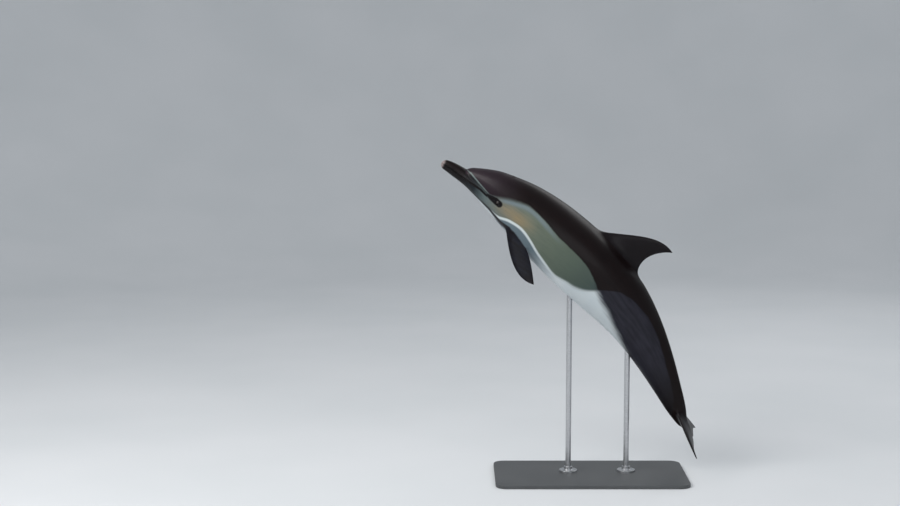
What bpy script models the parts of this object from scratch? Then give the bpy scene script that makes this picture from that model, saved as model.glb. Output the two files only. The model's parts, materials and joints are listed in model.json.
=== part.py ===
"""Long-beaked common dolphin in mid leap, life size, on a plain two-rod display stand.

Units are metres, +Z is up, the beak points to -X and the dolphin's left side faces -Y.
The origin is the middle of the base's underside. The body is one lofted form: a section
is worked out at every station along a bent spine, and the loft is parted at the places
where a person would name a new part. Sizes marked "share" are hundredths of BODY_LENGTH.
"""

import math

import bmesh
import bpy
import numpy as np
from mathutils import Matrix, Vector

BODY_LENGTH = 2.10  # tip of the beak to the notch of the flukes, along the spine
SHARE = BODY_LENGTH / 100
GAP = 0.0003  # clearance left between neighbouring pieces
ROLL = math.radians(10.0)  # how far the back leans towards -Y
PIVOT_STATION = 0.42  # the roll turns about the spine at this station
BEAK_TIP = (-0.814, 1.700)  # X and Z of the tip of the beak

# Pitch of the spine below the horizontal, in degrees, by station along the body (0 to 1).
PITCH = ((0.0, 25), (0.06, 27), (0.12, 29), (0.2, 32), (0.3, 36), (0.4, 41), (0.5, 48),
         (0.6, 56), (0.7, 62), (0.8, 65), (0.9, 66), (1.0, 65), (1.1, 63))

# Melon, skull, trunk and tail stock: station, back, belly, half width and height of the
# widest level, all measured from the spine, and the keel power (2 round, under 2 ridged).
TRUNK = (
    (0.060, 1.50, 0.40, 0.45, 1.00, 2.0),
    (0.072, 2.68, 0.60, 1.55, 1.15, 2.0),
    (0.088, 3.52, 1.10, 2.35, 1.35, 2.0),
    (0.108, 4.40, 1.90, 3.10, 1.40, 2.0),
    (0.140, 5.58, 3.40, 4.15, 1.10, 2.0),
    (0.180, 6.42, 5.20, 5.25, 0.60, 2.0),
    (0.230, 7.30, 6.85, 6.35, 0.20, 2.0),
    (0.300, 7.88, 8.50, 7.35, -0.10, 2.0),
    (0.380, 8.00, 9.60, 7.95, -0.40, 2.0),
    (0.460, 8.00, 9.80, 7.90, -0.40, 1.95),
    (0.540, 7.75, 9.10, 6.95, -0.20, 1.85),
    (0.620, 7.10, 7.50, 5.50, 0.00, 1.70),
    (0.700, 6.10, 5.85, 3.95, 0.00, 1.55),
    (0.780, 4.90, 4.45, 2.70, 0.00, 1.45),
    (0.850, 3.70, 3.35, 1.85, 0.00, 1.40),
    (0.910, 2.60, 2.40, 1.35, 0.00, 1.45),
    (0.950, 1.50, 1.40, 1.00, 0.00, 1.70),
    (0.975, 0.70, 0.65, 0.65, 0.00, 2.0),
)
# Both jaws and the cheeks, which run back under the melon: the same columns.
JAW = (
    (0.000, 1.55, 0.60, 0.92, 0.45, 2.2),
    (0.020, 1.92, 1.00, 1.22, 0.40, 2.2),
    (0.040, 1.96, 1.42, 1.50, 0.25, 2.2),
    (0.058, 1.88, 1.68, 1.88, 0.10, 2.2),
    (0.080, 1.65, 2.12, 2.50, -0.15, 2.1),
    (0.110, 1.15, 3.05, 3.40, -0.70, 2.0),
    (0.150, 0.30, 4.40, 4.50, -1.60, 2.0),
    (0.190, -0.40, 5.60, 5.25, -2.40, 2.0),
    (0.240, -1.40, 6.60, 5.40, -3.30, 2.0),
    (0.290, -2.60, 7.00, 4.60, -4.20, 2.0),
)
TIP_ROUND = 0.010  # the tip of the beak is rounded over this much of the length
TIP_LEVEL = 0.45 * SHARE  # height of the tip of the beak above the spine
TAIL_END = 0.966  # the tail stock ends between the flukes
TAIL_ROUND = 0.006  # its end is rounded over this much of the length
CREASE_BLEND = 0.0016  # softness of the fold between melon and beak
WELL_OUTSIDE = 14.0  # a share beyond the skin in every direction

# Side view of the cuts in the head, as (station, height share). Each outline is closed by
# points that lie clear of the head, ahead of its tip, above it or below it.
MOUTH_LINE = ((-0.03, 0.62), (0.0, 0.60), (0.03, 0.42), (0.06, 0.02), (0.09, -0.10), (0.118, -0.22),
              (0.146, -0.95))
JAW_REAR = ((0.156, -2.6), (0.166, -7.5), (-0.03, -8.0))
MELON_CREASE = ((0.058, 4.0), (0.0628, 1.95), (0.08, 1.85), (0.096, 1.40), (0.111, 0.92), (0.127, 0.47),
                (0.141, 0.05))
BEAK_FRONT = (-0.03, 4.0)
BEAK_UNDER = ((0.141, -1.2), (0.10, -0.7), (0.05, -0.3), (-0.03, -0.3))
GAPE_NEAR = 0.14  # the jaw's room grows rearwards only from here
CUT_HALF_WIDTH = 0.2

# Where the body is parted, by station, and how many rings each length has.
LENGTHS = (("chest", 0.205, 0.330, 7), ("trunk", 0.330, 0.590, 13), ("tail_base", 0.590, 0.760, 8),
           ("tail_stock", 0.760, TAIL_END, 11))
HEAD_END = 0.205
TIP_SPAN = (0.012, 0.16, 6)  # the round tip: end station, first step (of 1), rings
HEAD_SPANS = ((0.022, 0.056, 4), (0.060, 0.090, 8), (0.100, HEAD_END, 7))
AROUND = 32  # points round each section of the body

EYE_STATION = 0.174
EYE_HEIGHT = -0.63
EYE_RADIUS = 0.0135
EYE_SHOWS = 0.0035  # how far the eyeball stands out of the cheek
EYE_SEARCH = (0.3, 0.9)  # the cheek, in half turns from the back

# Fins are lofted between a leading and a trailing edge, each a Bezier curve of (aft, out)
# shares in the fin's own plane. The second pair of numbers is the root and tip thickness.
DORSAL_FRONT = 0.413
DORSAL_REAR = 0.552
DORSAL_LEADING = ((0.0, 0.0), (5.4, 2.9), (10.4, 11.6), (17.05, 10.4))
DORSAL_TRAILING = ((16.0, 0.0), (12.4, 2.2), (13.6, 7.3), (17.05, 10.4))
DORSAL_THICK = (1.75, 0.30)
DORSAL_ROOT = 2.2  # shares that the blade runs on inwards, before the body is cut out of it
FLIPPER_STATION = 0.224
FLIPPER_ANGLE = 48.0  # degrees round from the level of the spine, towards the belly
FLIPPER_SPREAD = {-1: 22.0, 1: 38.0}  # degrees out from the body's middle plane, left and right
FLIPPER_LEADING = ((0.0, 0.0), (3.6, 4.0), (8.4, 10.2), (14.15, 8.15))
FLIPPER_TRAILING = ((4.6, 0.0), (7.6, 1.2), (10.4, 3.6), (14.15, 8.15))
FLIPPER_THICK = (1.45, 0.25)
FLIPPER_ROOT = 1.6
FLUKE_STATION = 0.908
FLUKE_LEADING = ((0.0, 0.0), (2.4, 3.6), (5.4, 8.6), (11.0, 11.6))
FLUKE_TRAILING = ((8.9, 0.0), (10.3, 2.6), (8.2, 7.2), (11.0, 11.6))
FLUKE_THICK = (1.55, 0.25)
FLUKE_TILT = 5.0  # degrees that the flukes turn up from the line of the tail
EDGE_THICK = 0.0016  # no edge of a fin is thinner
FIN_SECTIONS = 11
FIN_AROUND = 16
ROOT_LONGER = 0.4  # shares that the hidden root ring is longer at each end

BASE_SIZE = (1.04, 0.56, 0.020)
BASE_CORNER = 0.06
BASE_EDGE = 0.003
ROD_RADIUS = 0.015
ROD_SINK = 0.055  # how far a rod runs up into the body
FOOT_RADIUS = 0.050
FOOT_PLATE = 0.010
COLLAR_RADIUS = 0.023  # a collar on the foot takes the bottom of the rod
COLLAR_HEIGHT = 0.028
COLLAR_FLOOR = 0.005
COLLAR_FLARE = 0.003
COLLAR_EASE = 0.001
FOOT_EASE = 0.0015
ROD_EASE = 0.002
TURN_STEPS = 20
ROD_STATIONS = {"front": 0.49, "rear": 0.72}

FINISHES = {  # base colour, roughness, metallic
    "skin": ((0.045, 0.042, 0.046), 0.30, 0.0),
    "eye": ((0.010, 0.007, 0.006), 0.08, 0.0),
    "stand_paint": ((0.075, 0.078, 0.082), 0.45, 0.0),
    "stand_steel": ((0.55, 0.55, 0.56), 0.28, 1.0),
}


def smooth(stations, values, at):
    """Height at `at` of the smooth curve through the points (stations, values)."""
    slopes = np.gradient(values, stations)
    i = np.clip(np.searchsorted(stations, at, side="right") - 1, 0, len(stations) - 2)
    width = stations[i + 1] - stations[i]
    t = np.clip((at - stations[i]) / width, 0, 1)
    rise = values[i + 1] - values[i]
    near, far = width * slopes[i], width * slopes[i + 1]
    return values[i] + t * (near + t * (3 * rise - 2 * near - far + t * (near + far - 2 * rise)))


class Spine:
    """The bent middle line of the body, in the upright dolphin's own XZ plane."""

    steps = 2200

    def __init__(self):
        self.at = np.linspace(0, 1.1, self.steps + 1)
        pitch = np.radians(smooth(*np.array(PITCH, float).T, self.at))
        step = BODY_LENGTH * (self.at[1] - self.at[0])
        aft, down = np.cos(pitch), np.sin(pitch)
        self.pitch = pitch
        self.x = BEAK_TIP[0] + step * np.append(0, np.cumsum((aft[1:] + aft[:-1]) / 2))
        self.z = BEAK_TIP[1] - step * np.append(0, np.cumsum((down[1:] + down[:-1]) / 2))

    def point(self, station, out=0.0, up=0.0):
        """The point `out` sideways (-Y is the dolphin's left) and `up` towards the back."""
        pitch = np.interp(station, self.at, self.pitch)
        x = np.interp(station, self.at, self.x) + up * np.sin(pitch)
        z = np.interp(station, self.at, self.z) + up * np.cos(pitch)
        x = x + np.minimum(station, 0) * BODY_LENGTH * math.cos(self.pitch[0])
        z = z - np.minimum(station, 0) * BODY_LENGTH * math.sin(self.pitch[0])
        return np.stack(np.broadcast_arrays(x, out, z), axis=-1)

    def aft(self, station):
        pitch = float(np.interp(station, self.at, self.pitch))
        return Vector((math.cos(pitch), 0, -math.sin(pitch)))


SPINE = Spine()
PIVOT = Vector(SPINE.point(PIVOT_STATION))


def section_depth(table, station, y, z):
    """Roughly the distance outside (inside is negative) of one form's section, in shares."""
    rows = np.array(table, float)
    back, belly, half, level, keel = (smooth(rows[:, 0], column, station) for column in rows[:, 1:].T)
    tall = np.where(z > level, back - level, belly + level)
    squared = np.abs(y / half) ** keel + ((z - level) / tall) ** 2
    return (np.sqrt(squared) - 1) * np.minimum(half, tall)


def body_depth(station, y, z):
    """The trunk and the jaws run into each other with a soft fold."""
    trunk = section_depth(TRUNK, station, y, z)
    jaw = section_depth(JAW, station, y, z)
    trunk = np.where(station < TRUNK[0][0], WELL_OUTSIDE, trunk)
    jaw = np.where(station > JAW[-1][0], WELL_OUTSIDE, jaw)
    blend = CREASE_BLEND / SHARE
    return np.minimum(trunk, jaw) - blend * np.log1p(np.exp(-np.abs(trunk - jaw) / blend))


def body_radius(station, angle):
    """Distance from the spine to the skin; angle runs from the back (0) towards +Y."""
    station, angle = np.broadcast_arrays(np.asarray(station, float), np.asarray(angle, float))
    low, high = np.zeros(station.shape), np.full(station.shape, WELL_OUTSIDE)
    for _ in range(26):
        middle = (low + high) / 2
        inside = body_depth(station, middle * np.sin(angle), middle * np.cos(angle)) < 0
        low, high = np.where(inside, middle, low), np.where(inside, high, middle)
    return low * SHARE


def skin_point(station, angle, grow=0.0):
    """A point of the skin, drawn in towards the two rounded ends of the body."""
    radius = body_radius(station, angle) + grow
    beak = np.sqrt(np.clip(1 - (1 - np.minimum(station / TIP_ROUND, 1)) ** 2, 0, 1))
    tail = np.sqrt(np.clip((TAIL_END - station) / TAIL_ROUND, 0, 1))
    level = TIP_LEVEL if station < 0.5 else 0.0
    up = level + (radius * np.cos(angle) - level) * beak * tail
    return SPINE.point(station, radius * np.sin(angle) * beak * tail, up)


def clear_scene():
    for obj in list(bpy.data.objects):
        bpy.data.objects.remove(obj, do_unlink=True)


def new_collection(name, shown=True):
    collection = bpy.data.collections.new(name)
    bpy.context.scene.collection.children.link(collection)
    collection.hide_render = not shown
    return collection


def finish(name):
    colour, roughness, metallic = FINISHES[name]
    material = bpy.data.materials.get(name) or bpy.data.materials.new(name)
    material.use_nodes = True
    shader = material.node_tree.nodes["Principled BSDF"]
    shader.inputs["Base Color"].default_value = (*colour, 1)
    shader.inputs["Roughness"].default_value = roughness
    shader.inputs["Metallic"].default_value = metallic
    return material


def add_object(name, mesh, collection, material=None, parent=None, matrix=None):
    obj = bpy.data.objects.new(name, mesh)
    collection.objects.link(obj)
    if material:
        mesh.materials.append(finish(material))
        mesh.shade_smooth()
        mesh.set_sharp_from_angle(angle=math.radians(40))
    else:
        obj.display_type = "WIRE"
        obj.hide_render = True
    obj.parent = parent
    if matrix is not None:
        obj.matrix_local = matrix
    return obj


def loft(name, rings, first_tip=None, last_tip=None):
    """A closed mesh over rings of points. A tip closes an end with a fan, no tip with a flat cap."""
    bm = bmesh.new()
    loops = [[bm.verts.new(point) for point in ring] for ring in rings]
    for one, two in zip(loops, loops[1:]):
        for i, _ in enumerate(one):
            j = (i + 1) % len(one)
            bm.faces.new((one[i], one[j], two[j]))
            bm.faces.new((one[i], two[j], two[i]))
    for loop, tip in ((loops[0], first_tip), (loops[-1], last_tip)):
        if tip is None:
            bm.faces.new(loop)
            continue
        point = bm.verts.new(tip)
        for i, vertex in enumerate(loop):
            bm.faces.new((point, vertex, loop[(i + 1) % len(loop)]))
    bmesh.ops.recalc_face_normals(bm, faces=bm.faces)
    mesh = bpy.data.meshes.new(name)
    bm.to_mesh(mesh)
    bm.free()
    return mesh


def around():
    return np.arange(AROUND) / AROUND * 2 * math.pi


def length_stations(start, end, rings):
    """Where the rings of one length stand, a little short of each neighbour."""
    half_gap = GAP / 2 / BODY_LENGTH
    return np.linspace(start + half_gap, end - (0.0002 if end == TAIL_END else half_gap), rings)


def body_length(name, start, end, rings):
    tip = SPINE.point(TAIL_END) if end == TAIL_END else None
    return loft(name, [skin_point(s, around()) for s in length_stations(start, end, rings)], last_tip=tip)


def head_stations():
    """Close together at the round tip of the beak and at the front of the melon."""
    tip_end, first, rings = TIP_SPAN
    tip = tip_end * (1 - np.cos(np.linspace(first, 1, rings) * math.pi / 2))
    spans = [np.linspace(*span) for span in HEAD_SPANS]
    spans[-1] = np.linspace(HEAD_SPANS[-1][0], HEAD_END - GAP / 2 / BODY_LENGTH, HEAD_SPANS[-1][2])
    return np.concatenate([tip, *spans])


def head_form(name):
    rings = [skin_point(s, around()) for s in head_stations()]
    return loft(name, rings, first_tip=SPINE.point(0.0, up=TIP_LEVEL))


def whole_body(name, grow):
    """The body in one piece, a little large, for cutting the roots of the fins."""
    stations = [head_stations()] + [length_stations(*span) for _, *span in LENGTHS]
    rings = [skin_point(s, around(), grow) for s in np.concatenate(stations)]
    front = SPINE.point(-grow / BODY_LENGTH, up=TIP_LEVEL)
    return loft(name, rings, front, SPINE.point(TAIL_END + grow / BODY_LENGTH))


def prism(name, outline):
    """A side-view outline of (station, height share) drawn out to both sides."""
    bm = bmesh.new()
    points = [SPINE.point(station, up=height * SHARE) for station, height in outline]
    low = [bm.verts.new((x, -CUT_HALF_WIDTH, z)) for x, _, z in points]
    made = bmesh.ops.extrude_face_region(bm, geom=[bm.faces.new(low)])
    moved = [v for v in made["geom"] if isinstance(v, bmesh.types.BMVert)]
    bmesh.ops.translate(bm, verts=moved, vec=(0, 2 * CUT_HALF_WIDTH, 0))
    bmesh.ops.recalc_face_normals(bm, faces=bm.faces)
    mesh = bpy.data.meshes.new(name)
    bm.to_mesh(mesh)
    bm.free()
    return mesh


def jaw_outline(grow):
    """Below the mouth line and ahead of the hinge of the jaw."""
    up, back = grow / SHARE, grow / BODY_LENGTH
    mouth = [(s + (back if s > GAPE_NEAR else 0), h + up) for s, h in MOUTH_LINE]
    return mouth + [(s + back, h) for s, h in JAW_REAR]


def beak_outline(grow):
    """Ahead of the melon's crease, down to below the mouth line."""
    up, back = grow / SHARE, grow / BODY_LENGTH
    crease = [(s + back, h + up) for s, h in MELON_CREASE]
    return [BEAK_FRONT, *crease, *BEAK_UNDER]


def bezier(points, t):
    p0, p1, p2, p3 = (Vector(p) for p in points)
    u = 1 - t
    return p0 * u**3 + p1 * (3 * u * u * t) + p2 * (3 * u * t * t) + p3 * t**3


def fin_mesh(name, leading, trailing, thick, root_depth):
    """A blade in its own frame: X aft, Y through the blade, Z out from the root."""
    chord_spots = [(1 - math.cos(math.pi * i / (FIN_AROUND // 2))) / 2 for i in range(FIN_AROUND // 2 + 1)]
    rings = []
    for k in range(-1 if root_depth else 0, FIN_SECTIONS):
        t = max(k, 0) / (FIN_SECTIONS - 0.55)
        front, back = bezier(leading, t), bezier(trailing, t)
        if k < 0:
            front -= Vector((ROOT_LONGER, root_depth))
            back -= Vector((-ROOT_LONGER, root_depth))
        half = (thick[0] + (thick[1] - thick[0]) * t ** 0.8) * SHARE / 2
        sides = []
        for c in chord_spots:
            bulge = 2.6 * math.sqrt(c) * (1 - c) ** 0.9 * half
            middle = front.lerp(back, c) * SHARE
            sides.append((middle.x, max(bulge, EDGE_THICK / 2 if 0 < c < 1 else 0.0), middle.y))
        near = [(x, -y, z) for x, y, z in sides[1:-1]]
        rings.append(sides + near[::-1])
    tip = bezier(leading, 1.0) * SHARE
    return loft(name, rings, last_tip=(tip.x, 0, tip.y))


def frame(origin, aft, out):
    """A matrix whose X is aft, whose Z is out, made square to aft, and whose Y is across."""
    aft = aft.normalized()
    out = (out - aft * out.dot(aft)).normalized()
    across = out.cross(aft)
    turn = Matrix((aft, across, out)).transposed().to_4x4()
    return Matrix.Translation(origin) @ turn


def dorsal_frame():
    front = Vector(skin_point(DORSAL_FRONT, 0.0))
    rear = Vector(skin_point(DORSAL_REAR, 0.0))
    chord = rear - front
    return frame(front - PIVOT, chord, Vector((-chord.z, 0, chord.x)))


def flipper_frame(side):
    """side is -1 for the dolphin's left, which faces -Y, and 1 for its right."""
    round_by = math.radians(90 + FLIPPER_ANGLE)
    root = Vector(skin_point(FLIPPER_STATION, side * round_by))
    aft = SPINE.aft(FLIPPER_STATION + 0.03)
    down = Vector((aft.z, 0, -aft.x))
    spread = math.radians(FLIPPER_SPREAD[side])
    out = down * math.cos(spread) + Vector((0, side, 0)) * math.sin(spread)
    return frame(root - PIVOT, aft, out)


def fluke_frame(side):
    aft = SPINE.aft(1.0)
    up = Vector((-aft.z, 0, aft.x))
    tilt = math.radians(FLUKE_TILT)
    aft = aft * math.cos(tilt) + up * math.sin(tilt)
    root = Vector(SPINE.point(FLUKE_STATION)) + Vector((0, side * GAP / 2, 0))
    return frame(root - PIVOT, aft, Vector((0, side, 0)))


def eye_point(side):
    """The middle of an eyeball that is sunk in the cheek."""
    angles = np.linspace(*EYE_SEARCH, 400) * math.pi
    heights = body_radius(EYE_STATION, angles) * np.cos(angles)
    angle = float(angles[np.argmin(np.abs(heights - EYE_HEIGHT * SHARE))])
    return Vector(skin_point(EYE_STATION, side * angle, EYE_SHOWS - EYE_RADIUS)) - PIVOT


def boolean(obj, kind, other):
    modifier = obj.modifiers.new(kind.lower() + "_" + other.name, "BOOLEAN")
    modifier.operation = kind
    modifier.object = other
    modifier.solver = "EXACT"


def centred(mesh):
    """Body meshes are worked out round the beak's place; their objects turn about the pivot."""
    mesh.transform(Matrix.Translation(-PIVOT))
    return mesh


def sphere_mesh(name, radius, around_count, rows):
    bm = bmesh.new()
    bmesh.ops.create_uvsphere(bm, u_segments=around_count, v_segments=rows, radius=radius)
    mesh = bpy.data.meshes.new(name)
    bm.to_mesh(mesh)
    bm.free()
    return mesh


def turned(name, profile, collection, material, location, parent=None):
    """A turned shape: the profile of (radius, height) runs down the outer side."""
    mesh = bpy.data.meshes.new(name)
    mesh.from_pydata([(r, 0, z) for r, z in profile], [(i, i + 1) for i in range(len(profile) - 1)], [])
    obj = add_object(name, mesh, collection, material, parent, Matrix.Translation(location))
    screw = obj.modifiers.new("turn", "SCREW")
    screw.steps = screw.render_steps = TURN_STEPS
    screw.use_merge_vertices = True
    screw.merge_threshold = GAP / 6
    return obj


def make_head(parts, cutters, posed):
    def cutter(name, outline):
        return add_object(name, centred(prism(name, outline)), cutters, parent=posed)

    jaw_zone, jaw_room = cutter("jaw_zone", jaw_outline(0)), cutter("jaw_room", jaw_outline(GAP))
    beak_zone, beak_room = cutter("beak_zone", beak_outline(0)), cutter("beak_room", beak_outline(GAP))

    jaw = add_object("lower_jaw", centred(head_form("lower_jaw")), parts, "skin", posed)
    boolean(jaw, "INTERSECT", jaw_zone)
    beak = add_object("upper_beak", centred(head_form("upper_beak")), parts, "skin", posed)
    boolean(beak, "DIFFERENCE", jaw_room)
    boolean(beak, "INTERSECT", beak_zone)
    head = add_object("head", centred(head_form("head")), parts, "skin", posed)
    boolean(head, "DIFFERENCE", jaw_room)
    boolean(head, "DIFFERENCE", beak_room)
    for label, side in (("left", -1), ("right", 1)):
        place = Matrix.Translation(eye_point(side))
        room = add_object(f"eye_room_{label}", sphere_mesh("eye_room", EYE_RADIUS + GAP * 1.5, 20, 12),
                          cutters, parent=posed, matrix=place)
        boolean(head, "DIFFERENCE", room)
        ball = sphere_mesh(f"eye_{label}", EYE_RADIUS, 14, 8)
        add_object(f"eye_{label}", ball, parts, "eye", posed, place)


def make_fins(parts, posed, body_room):
    def fin(name, edges, thick, root_depth, matrix):
        mesh = fin_mesh(name, *edges, thick, root_depth)
        blade = add_object(name, mesh, parts, "skin", posed, matrix)
        boolean(blade, "DIFFERENCE", body_room)

    fin("dorsal_fin", (DORSAL_LEADING, DORSAL_TRAILING), DORSAL_THICK, DORSAL_ROOT, dorsal_frame())
    for label, side in (("left", -1), ("right", 1)):
        edges = FLIPPER_LEADING, FLIPPER_TRAILING
        fin(f"flipper_{label}", edges, FLIPPER_THICK, FLIPPER_ROOT, flipper_frame(side))
        edges = FLUKE_LEADING, FLUKE_TRAILING
        fin(f"fluke_{label}", edges, FLUKE_THICK, 0.0, fluke_frame(side))


def posed_point(point, posed):
    return posed.matrix_world @ (Vector(point) - PIVOT)


def make_stand(parts, cutters, posed):
    bm = bmesh.new()
    bmesh.ops.create_cube(bm, size=1.0)
    bmesh.ops.scale(bm, verts=bm.verts, vec=BASE_SIZE)
    upright = [e for e in bm.edges if abs(e.verts[0].co.z - e.verts[1].co.z) > BASE_SIZE[2] / 2]
    bmesh.ops.bevel(bm, geom=upright, offset=BASE_CORNER, segments=6, profile=0.5, affect="EDGES")
    mesh = bpy.data.meshes.new("stand_base")
    bm.to_mesh(mesh)
    bm.free()
    place = Matrix.Translation((0, 0, BASE_SIZE[2] / 2))
    base = add_object("stand_base", mesh, parts, "stand_paint", matrix=place)
    edge = base.modifiers.new("edge", "BEVEL")
    edge.width = BASE_EDGE
    edge.segments = 2
    edge.limit_method = "ANGLE"

    for label, station in ROD_STATIONS.items():
        under = posed_point(skin_point(station, math.pi), posed)
        low = BASE_SIZE[2] + GAP
        wide, inner = FOOT_RADIUS, ROD_RADIUS + GAP
        foot = [(0, COLLAR_FLOOR), (inner, COLLAR_FLOOR), (inner, COLLAR_HEIGHT),
                (COLLAR_RADIUS - COLLAR_EASE, COLLAR_HEIGHT), (COLLAR_RADIUS, COLLAR_HEIGHT - COLLAR_EASE),
                (COLLAR_RADIUS, FOOT_PLATE + COLLAR_FLARE), (COLLAR_RADIUS + COLLAR_FLARE, FOOT_PLATE),
                (wide - FOOT_EASE, FOOT_PLATE), (wide, FOOT_PLATE - FOOT_EASE), (wide, 0), (0, 0)]
        turned(f"stand_foot_{label}", foot, parts, "stand_steel", (under.x, under.y, low))
        low += COLLAR_FLOOR + GAP
        tall = under.z + ROD_SINK - low
        rod = [(0, tall), (ROD_RADIUS - ROD_EASE, tall), (ROD_RADIUS, tall - ROD_EASE), (ROD_RADIUS, 0),
               (0, 0)]
        turned(f"stand_rod_{label}", rod, parts, "stand_steel", (under.x, under.y, low))
        room = [(0, tall + GAP), (inner, tall + GAP), (inner, tall / 2), (0, tall / 2)]
        socket = turned(f"socket_{label}", room, cutters, None, (under.x, under.y, low))
        length = next(name for name, start, end, _ in LENGTHS if start < station < end)
        boolean(bpy.data.objects[length], "DIFFERENCE", socket)


def main():
    clear_scene()
    parts = new_collection("common_dolphin_on_stand")
    cutters = new_collection("cutters", shown=False)
    posed = bpy.data.objects.new("dolphin_pose", None)
    parts.objects.link(posed)
    roll = Matrix.Rotation(ROLL, 4, SPINE.aft(PIVOT_STATION))
    posed.matrix_world = Matrix.Translation(PIVOT) @ roll
    bpy.context.view_layer.update()

    body_room = add_object("body_room", centred(whole_body("body_room", GAP)), cutters, parent=posed)
    make_head(parts, cutters, posed)
    for name, start, end, rings in LENGTHS:
        add_object(name, centred(body_length(name, start, end, rings)), parts, "skin", posed)
    make_fins(parts, posed, body_room)
    make_stand(parts, cutters, posed)


main()
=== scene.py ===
"""A life-size long-beaked common dolphin, caught in a leap and held by a two-rod display stand.

The stand keeps its solids. One skin with the species' markings covers the body and fins,
and the eyes are polished balls between the lids. Metres, +Z up, the beak points to -X.
"""

import json
import math

import bmesh
import bpy
import numpy as np
from mathutils import Matrix, Vector
from mathutils.kdtree import KDTree

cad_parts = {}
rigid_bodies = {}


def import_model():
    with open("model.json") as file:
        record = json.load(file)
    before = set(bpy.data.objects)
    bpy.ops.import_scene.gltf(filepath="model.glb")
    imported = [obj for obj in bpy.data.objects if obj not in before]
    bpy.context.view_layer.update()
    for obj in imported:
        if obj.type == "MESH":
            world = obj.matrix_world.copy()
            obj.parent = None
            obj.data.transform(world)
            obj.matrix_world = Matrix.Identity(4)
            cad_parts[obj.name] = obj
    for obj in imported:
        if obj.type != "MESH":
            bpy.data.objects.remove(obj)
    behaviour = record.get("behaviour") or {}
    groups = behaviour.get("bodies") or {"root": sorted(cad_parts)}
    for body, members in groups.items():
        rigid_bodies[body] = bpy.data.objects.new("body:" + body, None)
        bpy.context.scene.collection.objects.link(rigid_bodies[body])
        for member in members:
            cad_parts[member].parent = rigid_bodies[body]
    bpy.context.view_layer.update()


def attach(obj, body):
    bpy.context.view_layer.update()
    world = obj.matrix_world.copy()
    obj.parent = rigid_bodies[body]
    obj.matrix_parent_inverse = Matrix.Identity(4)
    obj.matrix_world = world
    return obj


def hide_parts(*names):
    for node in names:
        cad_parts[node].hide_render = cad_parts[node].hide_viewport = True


for startup in list(bpy.data.objects):
    bpy.data.objects.remove(startup, do_unlink=True)
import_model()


# Body: one closed skin from the tip of the beak to the flukes, as on the cast of a real
# animal. Its form is a section worked out at every station along a bent spine. Sizes
# called shares are hundredths of the body's length.
BODY_LENGTH = 2.10
SHARE = BODY_LENGTH / 100
ROLL = math.radians(10.0)
PIVOT_STATION = 0.42
BEAK_TIP = (-0.814, 1.700)
INSET = 0.0005  # the skin lies this far inside the solids
PITCH = ((0.0, 25), (0.06, 27), (0.12, 29), (0.2, 32), (0.3, 36), (0.4, 41), (0.5, 48),
         (0.6, 56), (0.7, 62), (0.8, 65), (0.9, 66), (1.0, 65), (1.1, 63))
# Melon, trunk and tail: station, back, belly, half width, widest level, keel power.
TRUNK = (
    (0.060, 1.50, 0.40, 0.45, 1.00, 2.0),
    (0.072, 2.68, 0.60, 1.55, 1.15, 2.0),
    (0.088, 3.52, 1.10, 2.35, 1.35, 2.0),
    (0.108, 4.40, 1.90, 3.10, 1.40, 2.0),
    (0.140, 5.58, 3.40, 4.15, 1.10, 2.0),
    (0.180, 6.42, 5.20, 5.25, 0.60, 2.0),
    (0.230, 7.30, 6.85, 6.35, 0.20, 2.0),
    (0.300, 7.88, 8.50, 7.35, -0.10, 2.0),
    (0.380, 8.00, 9.60, 7.95, -0.40, 2.0),
    (0.460, 8.00, 9.80, 7.90, -0.40, 1.95),
    (0.540, 7.75, 9.10, 6.95, -0.20, 1.85),
    (0.620, 7.10, 7.50, 5.50, 0.00, 1.70),
    (0.700, 6.10, 5.85, 3.95, 0.00, 1.55),
    (0.780, 4.90, 4.45, 2.70, 0.00, 1.45),
    (0.850, 3.70, 3.35, 1.85, 0.00, 1.40),
    (0.910, 2.60, 2.40, 1.35, 0.00, 1.45),
    (0.950, 1.50, 1.40, 1.00, 0.00, 1.70),
    (0.975, 0.70, 0.65, 0.65, 0.00, 2.0),
)
# Both jaws and the cheeks, which run back under the melon: the same columns.
JAW = (
    (0.000, 1.55, 0.60, 0.92, 0.45, 2.2),
    (0.020, 1.92, 1.00, 1.22, 0.40, 2.2),
    (0.040, 1.96, 1.42, 1.50, 0.25, 2.2),
    (0.058, 1.88, 1.68, 1.88, 0.10, 2.2),
    (0.080, 1.65, 2.12, 2.50, -0.15, 2.1),
    (0.110, 1.15, 3.05, 3.40, -0.70, 2.0),
    (0.150, 0.30, 4.40, 4.50, -1.60, 2.0),
    (0.190, -0.40, 5.60, 5.25, -2.40, 2.0),
    (0.240, -1.40, 6.60, 5.40, -3.30, 2.0),
    (0.290, -2.60, 7.00, 4.60, -4.20, 2.0),
)
TIP_ROUND = 0.010  # the tip of the beak is rounded over this much of the length
TIP_LEVEL = 0.45 * SHARE  # height of the tip above the spine
TAIL_END = 0.966
TAIL_ROUND = 0.006
CREASE_BLEND = 0.0016  # softness of the fold between melon and beak
WELL_OUTSIDE = 14.0  # a share beyond the skin in every direction
HALVINGS = 24  # steps of the search for the skin
SPINE_END = 1.1
SPINE_STEPS = 2200
AROUND = 132
HEAD_END = 0.21  # the rings lie closer together ahead of this station
HEAD_RINGS = 152
TAIL_RINGS = 190
TIP_RINGS = 12
TIP_SPAN = 0.02  # round the tip of the beak, angles are measured about its own level
TIP_FIRST = 0.03  # angle of the first ring from the tip, in half turns
LAST_RING = 0.00004  # how far ahead of the tail's end the last ring lies
END_REACH = 0.02  # the rings at the two ends lie this close to their middles
NUDGE = (2e-5, 1e-3)  # a small step back along the body and round it
SAME_PLACE = 1e-6
STATION_STEPS = 12  # steps of the search for the station of a point


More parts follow.
